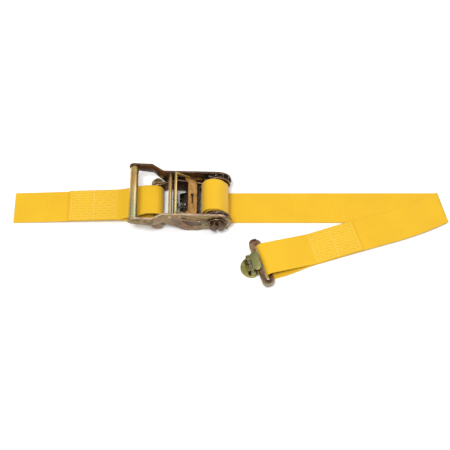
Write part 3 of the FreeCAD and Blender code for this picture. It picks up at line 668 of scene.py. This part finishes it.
def sewn_lines(start, stop):
    """The rows and bars of a sewn zone, as lists of (along, across) points."""
    lines = []
    along = np.linspace(start, stop, ROW_POINTS)
    for i in range(SEWN_ROWS):
        across = -SEWN_HALF_WIDTH + 2 * SEWN_HALF_WIDTH * i / (SEWN_ROWS - 1)
        # neighbouring rows weave in opposite ways, and each a little out of step
        shift = math.pi * (i % 2) + 0.5 * math.sin(1.7 * i)
        stretch = 1.0 + 0.12 * math.cos(2.3 * i)
        wave = WEAVE_SWING * np.sin(2 * math.pi * (along - start) * stretch / WEAVE_PERIOD + shift)
        lines.append(list(zip(along, across + wave)))
    across = np.linspace(-SEWN_HALF_WIDTH - BAR_OVERHANG, SEWN_HALF_WIDTH + BAR_OVERHANG, BAR_POINTS)
    for at in (start - BAR_OUTSIDE, (start + stop) / 2, stop + BAR_OUTSIDE):
        lines.append(list(zip(at + BAR_SWING * np.sin(across * 2 * math.pi / BAR_PERIOD), across)))
    return lines


# a sewn zone shows on the outer face of each of its two layers; zones stop short of the tail's
# cut end and of the loop, and are given as distances along the strap
SEWN_MARGIN = 5.0
SHORT_TAIL_SEWN, END_TAIL_SEWN = 69.0, 68.0
SHORT_UNDER = (84.0, 150.0)
LOOP_MARGIN = 4.0

short_sewn = sewn_lines(short_length - SHORT_TAIL_SEWN, short_length - SEWN_MARGIN)
short_under = sewn_lines(*SHORT_UNDER)
short_stitching = [
    stitches("short_strap_stitching", short_place, short_sewn, -1, "anchor_strap"),
    stitches("short_strap_stitching_under", short_place, short_under, -1, "anchor_strap"),
]
back_start = load_length - back_length
end_sewn = sewn_lines(load_length - END_TAIL_SEWN, load_length - SEWN_MARGIN)
end_under = sewn_lines(back_start + TAIL_START + SEWN_MARGIN, back_start + LOOP_START - LOOP_MARGIN)
end_stitching = [
    stitches("end_loop_stitching", load_place, end_sewn, 1, "load_strap"),
    stitches("end_loop_stitching_under", load_place, end_under, 1, "load_strap"),
]


# ---------------------------------------------------------------- springs
WIRE_SIDES = 8
COIL_STEPS = 18
CLOSED_TURNS = 1.0
CLOSED_PITCH = 0.25


def wire(name, path, radius, body):
    """A round spring wire along a path of row-frame points."""
    path = np.asarray(path, float)
    forward = np.gradient(path, axis=0)
    forward /= np.linalg.norm(forward, axis=1, keepdims=True)
    beside = np.cross(forward[0], (0.3, 0.5, 0.8))
    vertices = []
    for k, point in enumerate(path):
        beside = beside - forward[k] * np.dot(beside, forward[k])
        beside /= np.linalg.norm(beside)
        above = np.cross(forward[k], beside)
        for j in range(WIRE_SIDES):
            turn = 2 * math.pi * j / WIRE_SIDES
            vertices.append(point + radius * (beside * math.cos(turn) + above * math.sin(turn)))
    faces = rod_faces(0, len(path), WIRE_SIDES)
    return new_piece(name, vertices, faces, spring_steel, body)


def coil_path(start, stop, radius, turns):
    """A helix between two points, with a closer turn at each end."""
    start, stop = np.asarray(start, float), np.asarray(stop, float)
    axis = stop - start
    unit = axis / np.linalg.norm(axis)
    side = np.cross(unit, (0, 1, 0) if abs(unit[1]) < 0.9 else (1, 0, 0))
    side /= np.linalg.norm(side)
    other = np.cross(unit, side)
    edge = CLOSED_PITCH * CLOSED_TURNS / turns
    path = []
    for k in range(int(turns * COIL_STEPS) + 1):
        turn = k / COIL_STEPS
        if turn < CLOSED_TURNS:
            share = CLOSED_PITCH * turn / turns
        elif turn > turns - CLOSED_TURNS:
            share = 1.0 - CLOSED_PITCH * (turns - turn) / turns
        else:
            share = edge + (1 - 2 * edge) * (turn - CLOSED_TURNS) / (turns - 2 * CLOSED_TURNS)
        around = 2 * math.pi * turn
        path.append(start + axis * share + radius * (side * math.cos(around) + other * math.sin(around)))
    return path


def ray(angle):
    """The direction away from the spindle at an angle, in degrees."""
    a = math.radians(angle)
    return np.array([math.cos(a), 0.0, math.sin(a)])


def on_ray(angle, along, y):
    """A row-frame point at a distance from the spindle's axis."""
    point = along * ray(angle)
    return row([point[0], y, SPINDLE_Z + point[2]])


# distances from the spindle's axis: where a spring's coils start and stop, and its fixed end
DRIVE_ANGLE = 164.0
DRIVE_COILS, DRIVE_SEAT = (48.6, 64.4), 64.6
DRIVE_SPRING_Y = 32.0
DRIVE_COIL_RADIUS, DRIVE_WIRE_RADIUS, DRIVE_TURNS = 0.85 * MM, 0.25 * MM, 9
LOCK_ANGLE = 194.0
LOCK_COILS, LOCK_SEAT = (47.2, 60.4), 60.8
LOCK_COIL_RADIUS, LOCK_WIRE_RADIUS, LOCK_TURNS = 3.0 * MM, 0.5 * MM, 6.5

for side_name, y in (("near", -DRIVE_SPRING_Y), ("far", DRIVE_SPRING_Y)):
    ends = [on_ray(DRIVE_ANGLE, along, y) for along in DRIVE_COILS]
    turns = coil_path(*ends, DRIVE_COIL_RADIUS, DRIVE_TURNS)
    spring = wire("drive_spring_" + side_name, turns, DRIVE_WIRE_RADIUS, "handle")
    if side_name == "near":
        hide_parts("drive_pawl_springs")
    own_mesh(spring)
ends = [on_ray(LOCK_ANGLE, along, 0) for along in LOCK_COILS]
turns = coil_path(*ends, LOCK_COIL_RADIUS, LOCK_TURNS)
lock_spring = wire("lock_spring", turns, LOCK_WIRE_RADIUS, "frame")
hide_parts("lock_pawl_spring")
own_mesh(lock_spring)

# ---- the latch's torsion spring, in the fitting's own directions about the latch's pin ----
NOSE_DOWN = math.radians(1.0)
LATCH_COILS_HALF = 4.0 * MM
LATCH_COIL_RADIUS, LATCH_WIRE_RADIUS, LATCH_TURNS = 2.35 * MM, 0.45 * MM, 5

latch_at = np.array(LATCH_JOINT["pos_m"])
across = -np.array(LATCH_JOINT["axis"], float)
level = np.cross(across, (0, 0, 1))
ahead = level / np.linalg.norm(level) * math.cos(NOSE_DOWN) - np.array([0, 0, 1]) * math.sin(NOSE_DOWN)
up = np.cross(ahead, across)
coils = coil_path(latch_at - across * LATCH_COILS_HALF, latch_at + across * LATCH_COILS_HALF,
                  LATCH_COIL_RADIUS, LATCH_TURNS)
# one leg reaches ahead and down from the coils, the other back and up
leg_in = [coils[0] + (ahead * 0.4 - up * 0.5) * k * MM for k in (9.0, 6.0, 3.0)]
leg_out = [coils[-1] + (-ahead * 0.75 + up * 0.5) * k * MM for k in (2.0, 4.5, 7.0)]
torsion = wire("latch_spring", leg_in + coils + leg_out, LATCH_WIRE_RADIUS, "track_latch")
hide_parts("fitting_spring")


# ---- dark sheets of painted shade in the two windows in the fitting's nose ----
# places ahead of, aside from and above the fitting's origin, from which its pin is placed too
WINDOW_AHEAD = (20.3, 28.1)
WINDOW_ASIDE = (5.3, 12.5)
WINDOW_CORNER = 1.15
CORNER_POINTS = 7
WINDOW_SHADE_HEIGHTS = (-6.6, -5.5)
PIN_AHEAD, PIN_ABOVE = 22.0, 4.6


def rounded_window(u0, u1, v0, v1):
    """A rectangle's outline with rounded corners."""
    outline = []
    for u, v, start in ((u1, v1, 0), (u0, v1, 90), (u0, v0, 180), (u1, v0, 270)):
        inset_u = u - math.copysign(WINDOW_CORNER, u - (u0 + u1) / 2)
        inset_v = v - math.copysign(WINDOW_CORNER, v - (v0 + v1) / 2)
        for turn in np.radians(np.linspace(start, start + 90, CORNER_POINTS)):
            outline.append((inset_u + WINDOW_CORNER * math.cos(turn),
                            inset_v + WINDOW_CORNER * math.sin(turn)))
    return outline


def window_shade_sheets():
    """One thin dark plate in each window, as painted shade inside it."""
    vertices, faces = [], []
    for v0, v1 in ((-WINDOW_ASIDE[1], -WINDOW_ASIDE[0]), WINDOW_ASIDE):
        outline = rounded_window(*WINDOW_AHEAD, v0, v1)
        first = len(vertices)
        for w in WINDOW_SHADE_HEIGHTS:
            for u, v in outline:
                place = ahead * (u - PIN_AHEAD) + across * v + up * (w - PIN_ABOVE)
                vertices.append(latch_at + place * MM)
        faces += rod_faces(first, len(WINDOW_SHADE_HEIGHTS), len(outline))
    # dark steel sheets standing in for the shade inside the windows
    shade_sheets = new_piece("nose_window_shade_sheets", vertices, faces, gear_steel, "track_fitting")
    shade_sheets.data.set_sharp_from_angle(angle=SHARP)


window_shade_sheets()


# ---------------------------------------------------------------- steel parts
LEAF_FLOOR_Y = -36.4
LEAF_TOLERANCE = 0.2
MERGE_DISTANCE = 2e-6
FLAT_ANGLE = math.radians(1.0)
BEVEL_ANGLE = math.radians(32.0)
FACES, EDGES, SHADED = 0, 1, 2


def rounded(node, body, face_material, edge_material, width):
    """A CAD node with rounded edges in a material of their own.

    On the near handle plate, what faces up takes the edges' pale material as a painted highlight, and the recess's
    floor is dark with painted shade.
    """
    mesh = NODES[node].data.copy()
    mesh.materials.clear()
    for material in (face_material, edge_material, zinc_dark):
        mesh.materials.append(material)
    work = bmesh.new()
    work.from_mesh(mesh)
    bmesh.ops.remove_doubles(work, verts=work.verts, dist=MERGE_DISTANCE)
    bmesh.ops.dissolve_limit(work, angle_limit=FLAT_ANGLE, verts=work.verts, edges=work.edges)
    for face in work.faces:
        face.material_index = FACES
        if node == "handle_plate_near":
            depth = (face.calc_center_median().y - ORIGIN[1]) / MM
            # upward faces: painted highlight from the light above
            if face.normal.z > 0.8:
                face.material_index = EDGES
            # the recess's floor takes the dark plate as painted shade in the hollow
            elif face.normal.y < -0.9 and abs(depth - LEAF_FLOOR_Y) < LEAF_TOLERANCE:
                face.material_index = SHADED
    work.to_mesh(mesh)
    work.free()
    piece = bpy.data.objects.new(node + "_finished", mesh)
    bpy.context.scene.collection.objects.link(piece)
    bevel = piece.modifiers.new("rounding", "BEVEL")
    bevel.width = width * MM
    bevel.segments = 2
    bevel.limit_method = "ANGLE"
    bevel.angle_limit = BEVEL_ANGLE
    bevel.material = EDGES
    bevel.use_clamp_overlap = True
    bevel.miter_outer = "MITER_ARC"
    graph = bpy.context.evaluated_depsgraph_get()
    done = bpy.data.meshes.new_from_object(piece.evaluated_get(graph))
    piece.modifiers.clear()
    piece.data = done
    done.name = piece.name
    done.polygons.foreach_set("use_smooth", [True] * len(done.polygons))
    done.set_sharp_from_angle(angle=SHARP)
    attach(piece, body)
    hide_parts(node)


# body, material of the faces, material of the edges, and width of the rounding; an edge material paler than its
# faces is a painted highlight
STEEL = {
    "handle_plate_near": ("handle", zinc, zinc_edge_highlight, 0.5),
    "handle_plate_far": ("handle", zinc_rose_shaded, zinc_edge_highlight, 0.5),
    "frame_plate_near": ("frame", zinc_dark, zinc_edge_highlight, 0.45),
    "frame_plate_far": ("frame", zinc_dark, zinc_edge_highlight, 0.45),
    "frame_cross_plate": ("frame", zinc_dark, zinc_edge_highlight, 0.4),
    "anchor_bolt": ("frame", zinc, zinc_edge_highlight, 0.35),
    "anchor_nut": ("frame", zinc, zinc_edge_highlight, 0.35),
    "anchor_sleeve": ("frame", zinc, zinc_edge_highlight, 0.2),
    "grip_tube": ("handle", bars, bars, 0.5),
    "grip_rod": ("handle", zinc, zinc_edge_highlight, 0.3),
    "handle_spacer_rod": ("handle", bars, bars, 0.3),
    "drive_pawl": ("drive_pawl_slider", copper, copper, 0.35),
    "pawl_pull_bar": ("drive_pawl_slider", bars, bars, 0.7),
    "lock_pawl": ("lock_pawl_slider", gear_steel, gear_edge_glint, 0.35),
    "ratchet_gear_near": ("spindle", gear_steel, gear_edge_glint, 0.3),
    "ratchet_gear_far": ("spindle", gear_steel, gear_edge_glint, 0.3),
    "spindle_half_left": ("spindle", zinc_dark, zinc_edge_highlight, 0.4),
    "spindle_half_right": ("spindle", zinc_dark, zinc_edge_highlight, 0.4),
    "spindle_washer_near": ("spindle", zinc_dark, zinc_edge_highlight, 0.3),
    "spindle_washer_far": ("spindle", zinc_dark, zinc_edge_highlight, 0.3),
    "split_pin": ("spindle", zinc, zinc_edge_highlight, 0.05),
    "retaining_ring": ("spindle", gear_steel, gear_edge_glint, 0.15),
    "fitting_body": ("track_fitting", fitting_steel, zinc_edge_highlight, 0.5),
    "fitting_pin": ("track_fitting", spring_steel, spring_steel, 0.3),
    "fitting_latch": ("track_latch", zinc_green, zinc_edge_highlight, 0.5),
}
SLOTS = {s["node"]: s["material_slot"] for s in frame["record"]["subparts"]}
for node, (body, face_material, edge_material, width) in STEEL.items():
    rounded(node, body, face_material, edge_material, width)
# plain materials for the CAD nodes that the pieces replace
for node, shape in NODES.items():
    shape.data.materials.clear()
    shape.data.materials.append(yellow if SLOTS[node] == "yellow_webbing" else zinc)

# ---------------------------------------------------------------- camera, floor and light
ELEVATION = math.radians(60.54)
DISTANCE = 1.843
LENS = 101.2
SENSOR = 36.0
# where the middle of the picture meets the floor, from below the spindle's middle
AIM_X, AIM_Y = 0.0114, -0.028
FLOOR_HALF = 6.0
FLOOR_Z = -0.0004
SKY_LOW, SKY_HIGH = (0.32, 0.32, 0.33, 1), (1.0, 1.0, 1.0, 1)
SKY_STRENGTH = 0.85

target = Vector((ORIGIN[0] + AIM_X, ORIGIN[1] + AIM_Y, 0.0))
lens = bpy.data.cameras.new("camera")
lens.lens = LENS
lens.sensor_width = SENSOR
lens.clip_end = 20.0
camera = bpy.data.objects.new("camera", lens)
camera.location = target + DISTANCE * Vector((0, -math.cos(ELEVATION), math.sin(ELEVATION)))
camera.rotation_euler = (math.pi / 2 - ELEVATION, 0, 0)
bpy.context.scene.collection.objects.link(camera)
bpy.context.scene.camera = camera

corners = ((-1, -1), (1, -1), (1, 1), (-1, 1))
ground = bpy.data.meshes.new("floor")
ground.from_pydata([(x * FLOOR_HALF, y * FLOOR_HALF, FLOOR_Z) for x, y in corners], [], [(0, 1, 2, 3)])
floor = bpy.data.objects.new("floor", ground)
bpy.context.scene.collection.objects.link(floor)
paper = Nodes("floor_paper")
mottle = paper.noise(paper.place(), 3.0, 2.0)
paper.link(paper.ramp(mottle, [(0.3, (0.90, 0.90, 0.90)), (0.7, (0.92, 0.92, 0.92))]),
           paper.shader.inputs["Base Color"])
paper.shader.inputs["Roughness"].default_value = 0.9
ground.materials.append(paper.material)

world = bpy.data.worlds.new("studio")
world.use_nodes = True
tree = world.node_tree
where = tree.nodes.new("ShaderNodeTexCoord")
axes = tree.nodes.new("ShaderNodeSeparateXYZ")
tree.links.new(where.outputs["Generated"], axes.inputs[0])
sky = tree.nodes.new("ShaderNodeValToRGB")
for element, position, colour in zip(sky.color_ramp.elements, (0.0, 0.9), (SKY_LOW, SKY_HIGH)):
    element.position = position
    element.color = colour
tree.links.new(axes.outputs["Z"], sky.inputs["Fac"])
tree.links.new(sky.outputs["Color"], tree.nodes["Background"].inputs["Color"])
tree.nodes["Background"].inputs["Strength"].default_value = SKY_STRENGTH
bpy.context.scene.world = world


def area_light(name, location, size, power):
    """A square light that faces the middle of the picture."""
    data = bpy.data.lights.new(name, "AREA")
    data.energy = power
    data.size = size
    light = bpy.data.objects.new(name, data)
    light.location = location
    light.rotation_euler = (target - Vector(location)).to_track_quat("-Z", "Y").to_euler()
    bpy.context.scene.collection.objects.link(light)


area_light("key", (-0.3, -0.6, 1.7), size=0.5, power=24.0)
area_light("fill", (0.9, 0.7, 1.3), size=1.2, power=7.0)
bpy.context.scene.view_settings.view_transform = "Standard"
